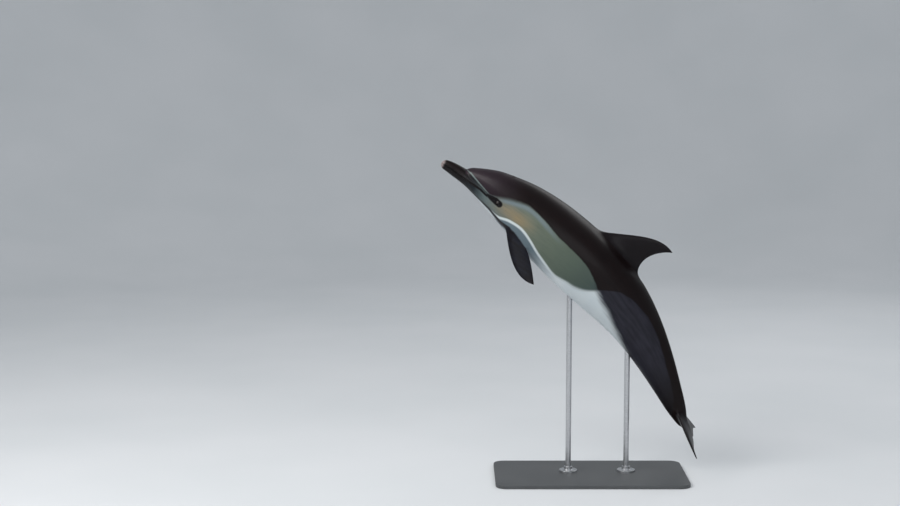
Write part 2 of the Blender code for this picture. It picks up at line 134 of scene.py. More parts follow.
def smooth(points, at):
    """Height at `at` of the smooth curve through the points, level beyond its two ends."""
    x, y = np.array(points, float).T
    slopes = np.gradient(y, x)
    i = np.clip(np.searchsorted(x, at, side="right") - 1, 0, len(x) - 2)
    width, rise = x[i + 1] - x[i], y[i + 1] - y[i]
    t = np.clip((at - x[i]) / width, 0, 1)
    near, far = width * slopes[i], width * slopes[i + 1]
    return y[i] + t * (near + t * (3 * rise - 2 * near - far + t * (near + far - 2 * rise)))


def step(low, high, value):
    """0 below low, 1 above high, and a soft step between."""
    t = np.clip((value - low) / (high - low), 0, 1)
    return t * t * (3 - 2 * t)


SPINE_AT = np.linspace(0, SPINE_END, SPINE_STEPS + 1)
SPINE_PITCH = np.radians(smooth(PITCH, SPINE_AT))
spine_step = BODY_LENGTH * (SPINE_AT[1] - SPINE_AT[0])
aft_part, down_part = np.cos(SPINE_PITCH), np.sin(SPINE_PITCH)
SPINE_X = BEAK_TIP[0] + spine_step * np.append(0, np.cumsum((aft_part[1:] + aft_part[:-1]) / 2))
SPINE_Z = BEAK_TIP[1] - spine_step * np.append(0, np.cumsum((down_part[1:] + down_part[:-1]) / 2))


def spine_point(station, out=0.0, up=0.0):
    """A point beside the spine of the upright, unleaning body."""
    pitch = np.interp(station, SPINE_AT, SPINE_PITCH)
    x = np.interp(station, SPINE_AT, SPINE_X) + up * np.sin(pitch)
    z = np.interp(station, SPINE_AT, SPINE_Z) + up * np.cos(pitch)
    return np.stack(np.broadcast_arrays(x, out, z), axis=-1)


def aft_at(station):
    """The way back along the spine."""
    pitch = float(np.interp(station, SPINE_AT, SPINE_PITCH))
    return Vector((math.cos(pitch), 0, -math.sin(pitch)))


def section_depth(table, station, out, up):
    """About how far a point lies outside one form's section, in shares. Inside is negative."""
    rows = np.array(table)
    back, belly, half, level, keel = (smooth(rows[:, (0, column)], station) for column in range(1, 6))
    tall = np.where(up > level, back - level, belly + level)
    squared = np.abs(out / half) ** keel + ((up - level) / tall) ** 2
    return (np.sqrt(squared) - 1) * np.minimum(half, tall)


def body_radius(station, angle):
    """Distance from the spine to the skin, at an angle that runs from the back towards +Y."""
    low, high = np.zeros(station.shape), np.full(station.shape, WELL_OUTSIDE)
    blend = CREASE_BLEND / SHARE
    for _ in range(HALVINGS):
        middle = (low + high) / 2
        out, up = middle * np.sin(angle), middle * np.cos(angle)
        trunk = section_depth(TRUNK, station, out, up)
        trunk = np.where(station < TRUNK[0][0], WELL_OUTSIDE, trunk)
        jaw = section_depth(JAW, station, out, up)
        jaw = np.where(station > JAW[-1][0], WELL_OUTSIDE, jaw)
        depth = np.minimum(trunk, jaw) - blend * np.log1p(np.exp(-np.abs(trunk - jaw) / blend))
        low, high = np.where(depth < 0, middle, low), np.where(depth < 0, high, middle)
    return low * SHARE


def body_point(station, angle):
    """The point of the skin at a station and an angle round the spine."""
    station, angle = np.broadcast_arrays(np.asarray(station, float), np.asarray(angle, float))
    radius = body_radius(station, angle) - INSET
    beak = np.sqrt(np.clip(1 - (1 - np.clip(station / TIP_ROUND, 0, 1)) ** 2, 0, 1))
    tail = np.sqrt(np.clip((TAIL_END - station) / TAIL_ROUND, 0, 1))
    level = np.where(station < HEAD_END, TIP_LEVEL, 0.0)
    up = level + (radius * np.cos(angle) - level) * beak * tail
    return spine_point(station, radius * np.sin(angle) * beak * tail, up)


# Face and openings: grooves and folds pressed into the skin. The lips meet in a fine line,
# each eye looks out between two soft lids, and the nostril is one crescent on the crown.
# A groove or swelling is given as its depth or height, and its width.
MOUTH_LINE = ((0.0, 0.60), (0.03, 0.42), (0.06, 0.02), (0.09, -0.10), (0.118, -0.22), (0.146, -0.95))
MOUTH_END = 0.146
MOUTH_FADE = 0.006  # the mouth closes over this much of the length
MOUTH_GROOVE = (0.0019, 0.0013)
LIP_SWELLING = (0.0007, 0.0035)
LIP_OFFSET = 0.0045
EYE_STATION = 0.174
EYE_HEIGHT = -0.63
EYE_RADIUS = 0.0135
EYE_SHOWS = 0.0035
EYE_SEARCH = (0.3, 0.9, 400)  # the cheek, in half turns from the back, and steps over it
EYE_TILT = 0.16  # how far the front corner of the eye is turned down, in radians
EYE_OPENING = (0.0112, 0.0066)  # half length and half height
EYE_SUNK = 0.0042  # the skin between the lids lies this deep, behind the eyeball
EYE_REACH = 0.030
LID_THICK = 0.0017
LID_RIM = (0.86, 1.12)  # the lid turns in between these shares of the opening
LID_EASE = 0.0008
LID_FOLD = (0.0005, 0.0016)
LID_FOLD_RADIUS = 0.0165
LOWER_FOLD = 0.25  # the fold under the eye lies closer to it by this share
BLOWHOLE = 0.1755
BLOWHOLE_RADIUS = 0.013
BLOWHOLE_HORNS = 1.35  # angle from the middle of the crescent to each horn, in radians
BLOWHOLE_GROOVE = (0.0030, 0.0016)
BLOWHOLE_SWELLING = (0.0006, 0.0045)
BLOWHOLE_LIP = 0.0055  # from the groove to the swelling beside it
SLITS = ((0.452, 0.456), (0.600, 0.640), (0.692, 0.699))  # navel, genital slit and vent
SLIT_FADE = (0.004, 0.003)  # beyond its end and within it
SLIT_GROOVE = (0.0022, 0.0014)
SLIT_SWELLING = (0.0008, 0.0040)
SLIT_LIP = 0.005
EAR = (0.2005, -1.05)  # station and height in shares
EAR_PIT = (0.0016, 0.0016)
EAR_OUT = 0.04  # the ears lie at least this far from the middle
FEATURE_REACH = 0.026  # how far from a feature the mesh is closer
CLOSER_EYE = 0.0140  # the same round an eye, and once more by the lids' rims
CLOSER_RIM = (0.32, 0.0150)  # share of the opening to both sides of its rim, and reach
FAR = 1.0  # a distance, in metres, that no feature reaches


def eye_frame(side):
    """Middle of the eyeball, with the directions aft, up and outwards in the cheek."""
    angles = np.linspace(*EYE_SEARCH) * math.pi
    heights = body_radius(np.full(len(angles), EYE_STATION), angles) * np.cos(angles)
    angle = float(angles[np.argmin(np.abs(heights - EYE_HEIGHT * SHARE))])
    back = aft_at(EYE_STATION)
    up = Vector((-back.z, 0, back.x))
    outwards = up * math.cos(angle) + Vector((0, side * math.sin(angle), 0))
    surface = Vector(body_point(EYE_STATION, side * angle)) + outwards * INSET
    middle = surface - outwards * (EYE_RADIUS - EYE_SHOWS)
    aft = back * math.cos(EYE_TILT) - up * math.sin(EYE_TILT)
    aft = (aft - outwards * aft.dot(outwards)).normalized()
    return middle, aft, outwards.cross(aft) * -side, outwards


EYES = {side: eye_frame(side) for side in (-1, 1)}


def beside_spine(station, points):
    """How far each point lies aft of its station on the spine, and above the spine."""
    pitch = np.interp(station, SPINE_AT, SPINE_PITCH)
    dx = points[:, 0] - np.interp(station, SPINE_AT, SPINE_X)
    dz = points[:, 2] - np.interp(station, SPINE_AT, SPINE_Z)
    return dx * np.cos(pitch) - dz * np.sin(pitch), dx * np.sin(pitch) + dz * np.cos(pitch)


def body_coordinates(points):
    """Station, height above the spine and distance out of points of the unleaning body."""
    station = np.interp(points[:, 0], SPINE_X, SPINE_AT)
    for _ in range(STATION_STEPS):
        aft, up = beside_spine(station, points)
        station = np.clip(station + aft / BODY_LENGTH, 0, SPINE_END)
    return station, up, points[:, 1]


def eye_local(points, side):
    """How far each point lies aft, up and outwards of the middle of an eyeball."""
    middle, *directions = (np.array(v) for v in EYES[side])
    return [(points - middle) @ direction for direction in directions]


def ridge(distance, form):
    """A soft ridge where the distance is 0."""
    height, width = form
    return height * np.exp(-((distance / width) ** 2))


def mouth_distance(station, up):
    return up - smooth(MOUTH_LINE, station) * SHARE


def crescent_distance(station, out):
    """Distance from the nostril, an arc whose horns point forwards."""
    x = (station - BLOWHOLE) * BODY_LENGTH + BLOWHOLE_RADIUS / 2
    around = np.clip(np.arctan2(out, x), -BLOWHOLE_HORNS, BLOWHOLE_HORNS)
    return np.hypot(x - BLOWHOLE_RADIUS * np.cos(around), out - BLOWHOLE_RADIUS * np.sin(around))


def ear_distance(station, up, out):
    away = np.hypot((station - EAR[0]) * BODY_LENGTH, up - EAR[1] * SHARE)
    return np.where(np.abs(out) > EAR_OUT, away, FAR)


def opening_share(x, y):
    """0 in the middle of the opening between the lids, and 1 on its almond-shaped rim."""
    return (x / EYE_OPENING[0]) ** 2 + np.abs(y) / EYE_OPENING[1]


def features(station, up, out, points):
    """How far the skin is pushed out at each point, in metres."""
    mouth = mouth_distance(station, up)
    lips = ridge(np.abs(mouth) - LIP_OFFSET, LIP_SWELLING) - ridge(mouth, MOUTH_GROOVE)
    push = lips * (1 - step(MOUTH_END - MOUTH_FADE, MOUTH_END, station))
    crown = np.where(up > 0, crescent_distance(station, out), FAR)
    push += ridge(crown - BLOWHOLE_LIP, BLOWHOLE_SWELLING) - ridge(crown, BLOWHOLE_GROOVE)
    beyond, within = SLIT_FADE
    for start, end in SLITS:
        length = step(start - beyond, start + within, station)
        length = length * (1 - step(end - within, end + beyond, station))
        lips = ridge(np.abs(out) - SLIT_LIP, SLIT_SWELLING) - ridge(out, SLIT_GROOVE)
        push += np.where(up < 0, length, 0) * lips
    push -= ridge(ear_distance(station, up, out), EAR_PIT)
    for side in EYES:
        x, y, z = eye_local(points, side)
        away = np.hypot(x, y)
        lid = np.sqrt(np.clip((EYE_RADIUS + LID_THICK) ** 2 - away**2, 0, None))
        lid = (lid - (EYE_RADIUS - EYE_SHOWS)) / LID_EASE
        lid = LID_EASE * np.log1p(np.exp(np.clip(lid, -30, 30)))
        fold = ridge(away * (1 + LOWER_FOLD * (y < 0)) - LID_FOLD_RADIUS, LID_FOLD)
        shown = 1 - step(*LID_RIM, opening_share(x, y))
        near = (z > 0) & (away < EYE_REACH)
        push += np.where(near, lid * (1 - shown) - EYE_SUNK * shown - fold, 0)
    return push


def fine_spots(station, up, out, points, reach):
    """Where the skin needs a closer mesh."""
    wanted = (np.abs(mouth_distance(station, up)) < 0.35 * reach) & (station < MOUTH_END + 0.004)
    wanted |= (crescent_distance(station, out) < 0.6 * reach) & (up > 0)
    wanted |= ear_distance(station, up, out) < 0.4 * reach
    for start, end in SLITS:
        length = (station > start - 0.006) & (station < end + 0.006)
        wanted |= (np.abs(out) < 0.4 * reach) & (up < 0) & length
    for side in EYES:
        x, y, z = eye_local(points, side)
        wanted |= (np.hypot(x, y) < 0.9 * reach) & (z > 0)
    return wanted


def around_eyes(x, y):
    return np.hypot(x, 1.3 * y) < CLOSER_EYE


def lid_rims(x, y):
    share, reach = CLOSER_RIM
    return (np.abs(opening_share(x, y) - 1) < share) & (np.hypot(x, y) < reach)


def eye_spots(points, chosen):
    """Where the eyes need a closer mesh still."""
    wanted = np.zeros(len(points), bool)
    for side in EYES:
        x, y, z = eye_local(points, side)
        wanted |= chosen(x, y) & (z > 0)
    return wanted


def flat_sheet(rows, columns):
    """The skin's mesh laid out flat, with station along X and angle along Y."""
    sheet = bpy.data.meshes.new("sheet")
    across, down = np.meshgrid(columns, rows)
    points = np.stack([down.ravel(), across.ravel(), np.zeros(down.size)], axis=1)
    n = len(columns)
    first = (np.arange(len(rows) - 1)[:, None] * n + np.arange(n - 1)).ravel()
    faces = np.stack([first, first + 1, first + n + 1, first + n], axis=1)
    sheet.from_pydata(points.tolist(), [], faces.tolist())
    bm = bmesh.new()
    bm.from_mesh(sheet)
    bpy.data.meshes.remove(sheet)
    return bm


def read_sheet(bm):
    """Station and angle of the flat sheet's points, with their places on the body."""
    station, angle, _ = np.array([v.co for v in bm.verts]).T
    points = body_point(station, angle)
    return station, angle, points, beside_spine(station, points)[1], points[:, 1]


beak_rows = TIP_ROUND * (1 - np.cos(np.linspace(TIP_FIRST, 0.5, TIP_RINGS) * math.pi))
head_rows = np.linspace(TIP_ROUND, HEAD_END, HEAD_RINGS)[1:]
tail_rows = np.linspace(HEAD_END, TAIL_END - LAST_RING, TAIL_RINGS)[1:]
columns = np.linspace(-math.pi, math.pi, AROUND + 1)
sheet = flat_sheet(np.concatenate([beak_rows, head_rows, tail_rows]), columns)
for closer_at in (FEATURE_REACH, 0.7 * FEATURE_REACH, around_eyes, lid_rims):
    station, angle, points, up, out = read_sheet(sheet)
    if callable(closer_at):
        wanted = eye_spots(points, closer_at)
    else:
        wanted = fine_spots(station, up, out, points, closer_at)
    sheet.verts.ensure_lookup_table()
    edges = [e for e in sheet.edges if wanted[e.verts[0].index] and wanted[e.verts[1].index]]
    bmesh.ops.subdivide_edges(sheet, edges=edges, cuts=1, use_grid_fill=True)
    sheet.verts.index_update()

station, angle, points, up, out = read_sheet(sheet)
back_step, round_step = NUDGE
along = body_point(station + back_step, angle) - body_point(station - back_step, angle)
across = body_point(station, angle + round_step) - body_point(station, angle - round_step)
normals = np.cross(across, along)
normals /= np.maximum(np.linalg.norm(normals, axis=1), 1e-12)[:, None]
inner = spine_point(station, up=TIP_LEVEL * (station < TIP_SPAN))
facing = np.sign(np.einsum("ij,ij->i", normals, points - inner))
normals *= np.where(facing == 0, 1, facing)[:, None]
points = points + normals * features(station, up, out, points)[:, None]
for vertex, point in zip(sheet.verts, points):
    vertex.co = point
bmesh.ops.remove_doubles(sheet, verts=sheet.verts, dist=SAME_PLACE)
for end in (spine_point(0.0, up=TIP_LEVEL) + (INSET, 0, 0), spine_point(TAIL_END)):
    rim = [e for e in sheet.edges if e.is_boundary]
    rim = [e for e in rim if (e.verts[0].co - Vector(end)).length < END_REACH]
    centre = sheet.verts.new(end)
    for e in rim:
        sheet.faces.new((*e.verts, centre))
bmesh.ops.recalc_face_normals(sheet, faces=sheet.faces)
body_mesh = bpy.data.meshes.new("skin")
sheet.to_mesh(body_mesh)
sheet.free()
skin = bpy.data.objects.new("skin", body_mesh)
bpy.context.scene.collection.objects.link(skin)


# Fins: a sickle-shaped back fin, two flippers and two flukes. They are stiff blades with a
# blunt leading edge and a thin trailing one, and their roots run into the body in one skin.
DORSAL_FRONT = 0.413
DORSAL_REAR = 0.552
DORSAL_EDGES = (((0.0, 0.0), (5.4, 2.9), (10.4, 11.6), (17.05, 10.4)),
                ((16.0, 0.0), (12.4, 2.2), (13.6, 7.3), (17.05, 10.4)))
DORSAL_THICK = (1.75, 0.30)
FLIPPER_STATION = 0.224
FLIPPER_ANGLE = 48.0  # of its root, down from the side
FLIPPER_RUN = 0.03  # it lies along the spine as that runs this far behind its root
FLIPPER_SPREAD = {-1: 22.0, 1: 38.0}
FLIPPER_EDGES = (((0.0, 0.0), (3.6, 4.0), (8.4, 10.2), (14.15, 8.15)),
                 ((4.6, 0.0), (7.6, 1.2), (10.4, 3.6), (14.15, 8.15)))
FLIPPER_THICK = (1.45, 0.25)
FLUKE_STATION = 0.908
FLUKE_EDGES = (((0.0, 0.0), (2.4, 3.6), (5.4, 8.6), (11.0, 11.6)),
               ((8.9, 0.0), (10.3, 2.6), (8.2, 7.2), (11.0, 11.6)))
FLUKE_THICK = (1.55, 0.25)
FLUKE_TILT = 5.0
FIN_SECTIONS = 44
FIN_CHORD = 26
FIN_EDGE = 0.0006  # least half thickness of an edge
FIN_EDGE_RISE = 6.0
FIN_BULGE = 2.6  # brings the thickest place of a section to the half thickness
FIN_AFT_POWER = 0.9
FIN_THIN_POWER = 0.8
FIN_TIP = 0.04  # the blade is rounded off over this share of its span
FIN_END = 0.9995
FLARE = 0.45  # how much thicker a fin is at its root than its blade, and how far out
FLARE_REACH = 0.16
ROOT_SPREAD = 0.3  # how fast the buried root grows longer to each end
SLIVER = 0.0009  # edges shorter than this are closed up along a root
ROOT_EDGE = 0.030  # the fins' colour is worked out this far to both sides of their roots
FILLET = (0.7, 40)  # how strongly, and how many times, the skin is relaxed near a root
ROOT_FADE = (0.9, 14)  # the same for the distance from the root


def bezier(points, t):
    p0, p1, p2, p3 = (Vector(p) for p in points)
    u = 1 - t
    return p0 * u**3 + p1 * (3 * u * u * t) + p2 * (3 * u * t * t) + p3 * t**3


def blade(name, edges, thick, root_depth, pair):
    """A closed blade in its own frame: X aft, Y through it, Z out from the root. A pair is
    two blades in one, out to both sides."""
    spots = [(1 - math.cos(math.pi * i / FIN_CHORD)) / 2 for i in range(FIN_CHORD + 1)]
    spans = [FIN_END * math.sin(math.pi / 2 * k / (FIN_SECTIONS - 1)) for k in range(FIN_SECTIONS)]
    inner = [-t for t in spans[:0:-1]] if pair else [-root_depth, -root_depth / 2]
    bm = bmesh.new()
    loops = []
    for span in inner + spans:
        t = abs(span) if pair else max(span, 0)
        front, back = (bezier(points, t) for points in edges)
        if span < 0 and not pair:
            front = front + Vector((ROOT_SPREAD * span, span))
            back = back + Vector((-ROOT_SPREAD * span, span))
        half = (thick[0] + (thick[1] - thick[0]) * t**FIN_THIN_POWER) * SHARE / 2
        half *= min(1, math.sqrt((1 - t) / FIN_TIP))
        half *= 1 + FLARE * math.exp(-((t / FLARE_REACH) ** 2))
        mirror = -1 if pair and span < 0 else 1
        ring = []
        for c in spots:
            bulge = FIN_BULGE * math.sqrt(c) * (1 - c) ** FIN_AFT_POWER * half
            bulge = max(bulge, FIN_EDGE * min(1, FIN_EDGE_RISE * c))
            middle = front.lerp(back, c) * SHARE
            ring.append(Vector((middle.x, bulge, middle.y * mirror)))
        mirrored = [Vector((p.x, -p.y, p.z)) for p in ring[1:]]
        loops.append([bm.verts.new(p) for p in ring + mirrored[::-1]])
    for one, two in zip(loops, loops[1:]):
        for i, _ in enumerate(one):
            j = (i + 1) % len(one)
            bm.faces.new((one[i], one[j], two[j], two[i]))
    bm.faces.new(loops[0])
    bm.faces.new(loops[-1][::-1])
    bmesh.ops.recalc_face_normals(bm, faces=bm.faces)
    mesh = bpy.data.meshes.new(name)
    bm.to_mesh(mesh)
    bm.free()
    return mesh


def blade_frame(origin, aft, out):
    """The place of a blade, with its X aft and its Z out."""
    aft = aft.normalized()
    out = (out - aft * out.dot(aft)).normalized()
    turn = Matrix((aft, out.cross(aft), out)).transposed().to_4x4()
    return Matrix.Translation(origin) @ turn


def dorsal_frame():
    front, rear = (Vector(body_point(station, 0.0)) for station in (DORSAL_FRONT, DORSAL_REAR))
    chord = rear - front
    return blade_frame(front, chord, Vector((-chord.z, 0, chord.x)))


def flipper_frame(side):
    root = Vector(body_point(FLIPPER_STATION, side * math.radians(90 + FLIPPER_ANGLE)))
    aft = aft_at(FLIPPER_STATION + FLIPPER_RUN)
    spread = math.radians(FLIPPER_SPREAD[side])
    down = Vector((aft.z, 0, -aft.x))
    out = down * math.cos(spread) + Vector((0, side, 0)) * math.sin(spread)
    return blade_frame(root, aft, out)


def fluke_frame():
    aft = aft_at(1.0)
    tilt = math.radians(FLUKE_TILT)
    aft = aft * math.cos(tilt) + Vector((-aft.z, 0, aft.x)) * math.sin(tilt)
    return blade_frame(Vector(spine_point(FLUKE_STATION)), aft, Vector((0, 1, 0)))


# Name, outline, thickness, depth of the root in shares, place, and reach of the fillet.
BLADES = [("dorsal_fin", DORSAL_EDGES, DORSAL_THICK, 2.2, dorsal_frame(), 0.060),
          ("flipper_left", FLIPPER_EDGES, FLIPPER_THICK, 1.6, flipper_frame(-1), 0.034),
          ("flipper_right", FLIPPER_EDGES, FLIPPER_THICK, 1.6, flipper_frame(1), 0.034),
          ("flukes", FLUKE_EDGES, FLUKE_THICK, 0.0, fluke_frame(), 0.036)]
fins = bpy.data.collections.new("fins")
bpy.context.scene.collection.children.link(fins)
meshes = [skin.data]
for name, edges, thick, root_depth, place, _ in BLADES:
    meshes.append(blade(name, edges, thick, root_depth, name == "flukes"))
    meshes[-1].transform(place)
    fins.objects.link(bpy.data.objects.new(name + "_blade", meshes[-1]))
for number, mesh in enumerate(meshes):
    mark = mesh.attributes.new("fin_number", "FLOAT", "FACE")
    mark.data.foreach_set("value", np.full(len(mesh.polygons), number, np.float32))
join = skin.modifiers.new("join", "BOOLEAN")
join.operation = "UNION"
join.operand_type = "COLLECTION"
join.collection = fins
join.solver = "MANIFOLD"
bpy.context.view_layer.update()
joined = skin.evaluated_get(bpy.context.evaluated_depsgraph_get())
skin.data = bpy.data.meshes.new_from_object(joined)
skin.modifiers.clear()
for fin in list(fins.objects):
    bpy.data.objects.remove(fin, do_unlink=True)
bpy.data.collections.remove(fins)

# The fillets: the skin near each root is relaxed until the fin grows out of the body.
bm = bmesh.new()
bm.from_mesh(skin.data)
fin_number = bm.faces.layers.float["fin_number"]


def seam_verts(which):
    """The vertices where one fin meets the body."""
    return [v for v in bm.verts if {round(f[fin_number]) for f in v.link_faces} == {0, which}]


for which in range(1, len(BLADES) + 1):
    seam = seam_verts(which)
    bm.verts.index_update()
    near = {v for s in seam for e in s.link_edges for v in e.verts}
    near = sorted(near, key=lambda v: v.index)
    bmesh.ops.remove_doubles(bm, verts=near, dist=SLIVER)
bmesh.ops.triangulate(bm, faces=[f for f in bm.faces if len(f.verts) > 4])
points = np.array([v.co for v in bm.verts])
bm.verts.index_update()
edges = np.array([(e.verts[0].index, e.verts[1].index) for e in bm.edges])
on_fin = np.zeros(len(points), bool)
for face in bm.faces:
    if face[fin_number] > 0.5:
        for v in face.verts:
            on_fin[v.index] = True
root_distance = np.full(len(points), ROOT_EDGE)
weight = np.zeros(len(points))
for which, (*_, reach) in enumerate(BLADES, 1):
    seam = np.array([v.co for v in seam_verts(which)])
    tree = KDTree(len(seam))
    for i, place in enumerate(seam):
        tree.insert(place, i)
    tree.balance()
    low, high = seam.min(0) - reach, seam.max(0) + reach
    for i in np.flatnonzero(np.all((points > low) & (points < high), axis=1)):
        away = tree.find(points[i])[2]
        weight[i] = max(weight[i], 1 - away / reach)
        root_distance[i] = min(root_distance[i], away)


def relax(values, weight, rounds):
    """Draw each vertex's row of values towards the mean of its neighbours', by its weight."""
    busy = (weight[edges[:, 0]] > 0) | (weight[edges[:, 1]] > 0)
    ends = np.concatenate([edges[busy], edges[busy][:, ::-1]])
    count = np.maximum(np.bincount(ends[:, 0], minlength=len(values)), 1)
    for _ in range(rounds):
        sums = [np.bincount(ends[:, 0], column[ends[:, 1]], len(values)) for column in values.T]
        values = values + weight[:, None] * (np.stack(sums, 1) / count[:, None] - values)
    return values


points = relax(points, FILLET[0] * step(0, 1, weight), FILLET[1])
root_side = (np.where(on_fin, 1, -1) * root_distance)[:, None]
near_root = np.where(root_distance < ROOT_EDGE, ROOT_FADE[0], 0.0)
root_side = relax(root_side, near_root, ROOT_FADE[1])[:, 0]


# Markings: the species' crossed pattern. A dark cape comes down to a point below the back
# fin, a tan patch lies ahead of that point and a grey one behind it, and the belly is white.
# Each field's edge is a curve along the body: station, height above the spine in shares.
CAPE_AHEAD = ((0.050, 4.6), (0.058, 3.9), (0.0628, 1.95), (0.08, 1.85), (0.096, 1.40), (0.111, 0.92),
              (0.127, 0.47), (0.141, 0.02), (0.150, 0.00), (0.16, 0.36), (0.176, 1.05), (0.20, 2.00),
              (0.222, 2.74), (0.241, 3.20), (0.258, 3.24), (0.292, 2.76), (0.326, 2.0), (0.369, 1.39),
              (0.419, 1.20), (0.462, 0.47), (0.483, -0.20), (0.512, -1.52), (0.56, -5.0), (0.6, -9.0))
CAPE_BEHIND = ((0.40, -14.0), (0.47, -6.0), (0.512, -1.52), (0.529, 0.30), (0.553, 2.36), (0.584, 3.55),
               (0.611, 3.98), (0.65, 4.3), (0.70, 4.0), (0.76, 3.0), (0.82, 1.9), (0.87, 0.9),
               (0.905, -0.6), (0.93, -2.5), (0.97, -4.0))
PATCH_EDGE = ((0.0, -0.5), (0.03, -1.05), (0.06, -1.60), (0.08, -1.95), (0.10, -2.3), (0.14, -3.0),
              (0.1675, -3.31), (0.194, -3.45), (0.2175, -2.74), (0.240, -2.40), (0.260, -2.42),
              (0.279, -2.92), (0.2955, -3.53), (0.324, -4.76), (0.363, -5.99), (0.407, -6.92),
              (0.438, -6.24), (0.469, -5.52), (0.4925, -4.10), (0.512, -1.9), (0.53, 0.8), (0.56, 6.0))
FLANK_EDGE = ((0.44, 4.0), (0.48, 0.8), (0.512, -1.7), (0.55, -3.0), (0.60, -4.0), (0.65, -4.8),
              (0.70, -5.6), (0.74, -6.4))
# Streaks and spots are chains of round dabs: station, height and radius in shares.
STRIPE = ((0.232, -4.75, 0.62), (0.2125, -4.85, 0.56), (0.20, -4.56, 0.44), (0.1645, -3.37, 0.30),
          (0.131, -2.72, 0.20), (0.098, -2.25, 0.16))
EYE_PATCH = ((0.141, -0.42, 0.26), (0.152, -0.48, 0.62), (0.166, -0.50, 0.88), (0.1785, -0.66, 0.86))
CREASE_LINE = ((0.064, 2.00, 0.10), (0.079, 1.92, 0.22), (0.096, 1.40, 0.22), (0.111, 0.92, 0.20),
               (0.127, 0.47, 0.17), (0.142, 0.06, 0.10))
LIPS = ((0.0, 0.60, 0.30), (0.03, 0.42, 0.34), (0.06, 0.02, 0.34), (0.09, -0.10, 0.30),
        (0.118, -0.22, 0.24), (0.141, -0.70, 0.20))
# The ear's painted shade is kept fainter than that of the other openings.
EAR_FAINTER = 0.0004  # keeps the ear's colour lighter than the other openings'


def dabs(chain, station, up):
    """How far each point lies inside a chain of dabs, in metres."""
    here = np.stack([station * BODY_LENGTH, up], axis=1)
    best = np.full(len(here), -1.0)
    for (s0, u0, r0), (s1, u1, r1) in zip(chain, chain[1:]):
        start, end = (np.array((s * BODY_LENGTH, u * SHARE)) for s, u in ((s0, u0), (s1, u1)))
        run = end - start
        t = np.clip((here - start) @ run / (run @ run), 0, 1)
        away = np.linalg.norm(here - start - t[:, None] * run, axis=1)
        best = np.maximum(best, (r0 + (r1 - r0) * t) * SHARE - away)
    return best


def slit_distance(station, up, out):
    """Distance from the nearest of the slits in the belly."""
    nearest = np.full(len(station), FAR)
    for start, end in SLITS:
        beyond = np.maximum(np.maximum(start - station, station - end), 0) * BODY_LENGTH
        nearest = np.minimum(nearest, np.where(up < 0, np.hypot(out, beyond), FAR))
    return nearest


def straight(curve, at):
    """Height at `at` of the straight lines from point to point."""
    x, y = np.array(curve).T
    return np.interp(at, x, y)


station, up, out = body_coordinates(points)
cape_edge = np.maximum(smooth(CAPE_AHEAD, station), straight(CAPE_BEHIND, station))
openings = (np.where(up > 0, crescent_distance(station, out), FAR),
            slit_distance(station, up, out), ear_distance(station, up, out) + EAR_FAINTER)
fields = {
    "station": station,
    "rise": up,
    "cape": up - cape_edge * SHARE,
    "patch": up - smooth(PATCH_EDGE, station) * SHARE,
    "flank": up - straight(FLANK_EDGE, station) * SHARE,
    "stripe": dabs(STRIPE, station, up),
    "eye_patch": dabs(EYE_PATCH, station, up),
    "crease": dabs(CREASE_LINE, station, up),
    "lips": dabs(LIPS, station, up),
    "mouth": mouth_distance(station, up),
    "opening": np.minimum.reduce(openings),
    "fin": root_side,
}

# The skin's UV map: the body unrolled from its belly line, with nearly half of the map for
# the head, and the two faces of each fin laid out beside it.
HEAD_SHARE = 0.45
BODY_WIDTH = 0.70
BODY_FILLS = (0.97, 0.99)  # of its width and of the map's height
BODY_GAP = 0.005
CELL = (0.145, 0.245)  # width and height of one face of a fin
CELL_GAP = 0.004
FIN_SPAN = 0.36  # length, in metres, that fills a cell's side
FLUKE_SPAN = (0.55, 0.26)
FIN_MARGIN = (0.05, 0.10)
angle = np.arctan2(out, up - TIP_LEVEL * (station < TIP_SPAN)) / math.tau
lengthwise = np.interp(station, (0.0, HEAD_END, 1.0), (0.0, HEAD_SHARE, 1.0))
bm.verts.index_update()
uv = bm.loops.layers.uv.new("OFBake")
places = [place.inverted() for _, _, _, _, place, _ in BLADES]
for face in bm.faces:
    which = round(face[fin_number])
    if which == 0:
        turns = [angle[v.index] for v in face.verts]
        wrap = max(turns) - min(turns) > 0.5
        for loop, turn in zip(face.loops, turns):
            turn += 1.0 if wrap and turn < 0 else 0.0
            across, along = (turn + 0.5) * BODY_WIDTH, lengthwise[loop.vert.index]
            loop[uv].uv = (across * BODY_FILLS[0], along * BODY_FILLS[1])
        continue
    local = [places[which - 1] @ v.co for v in face.verts]
    column, row = sum(p.y for p in local) > 0, which - 1
    corner = (BODY_WIDTH + BODY_GAP + column * (CELL[0] + CELL_GAP), row * (CELL[1] + CELL_GAP))
    for loop, p in zip(face.loops, local):
        if which < len(BLADES):
            x, z = p.x / FIN_SPAN, p.z / FIN_SPAN
        else:
            x, z = p.z / FLUKE_SPAN[0] + 0.5, p.x / FLUKE_SPAN[1]
        filled = (min(max(x + FIN_MARGIN[0], 0), 1), min(max(z + FIN_MARGIN[1], 0), 1))
        loop[uv].uv = [start + share * side for start, share, side in zip(corner, filled, CELL)]

# The whole body leans a little to one side, about the spine near its middle.
PIVOT = Vector(spine_point(PIVOT_STATION))
LEAN = (Matrix.Translation(PIVOT) @ Matrix.Rotation(ROLL, 4, aft_at(PIVOT_STATION))
        @ Matrix.Translation(-PIVOT))
for vertex, place in zip(bm.verts, points):
    vertex.co = LEAN @ Vector(place)
for face in bm.faces:
    face.smooth = True
bm.to_mesh(skin.data)
bm.free()
skin.data.attributes.remove(skin.data.attributes["fin_number"])
for name, values in fields.items():
    field = skin.data.attributes.new(name, "FLOAT", "POINT")
    field.data.foreach_set("value", values.astype(np.float32))


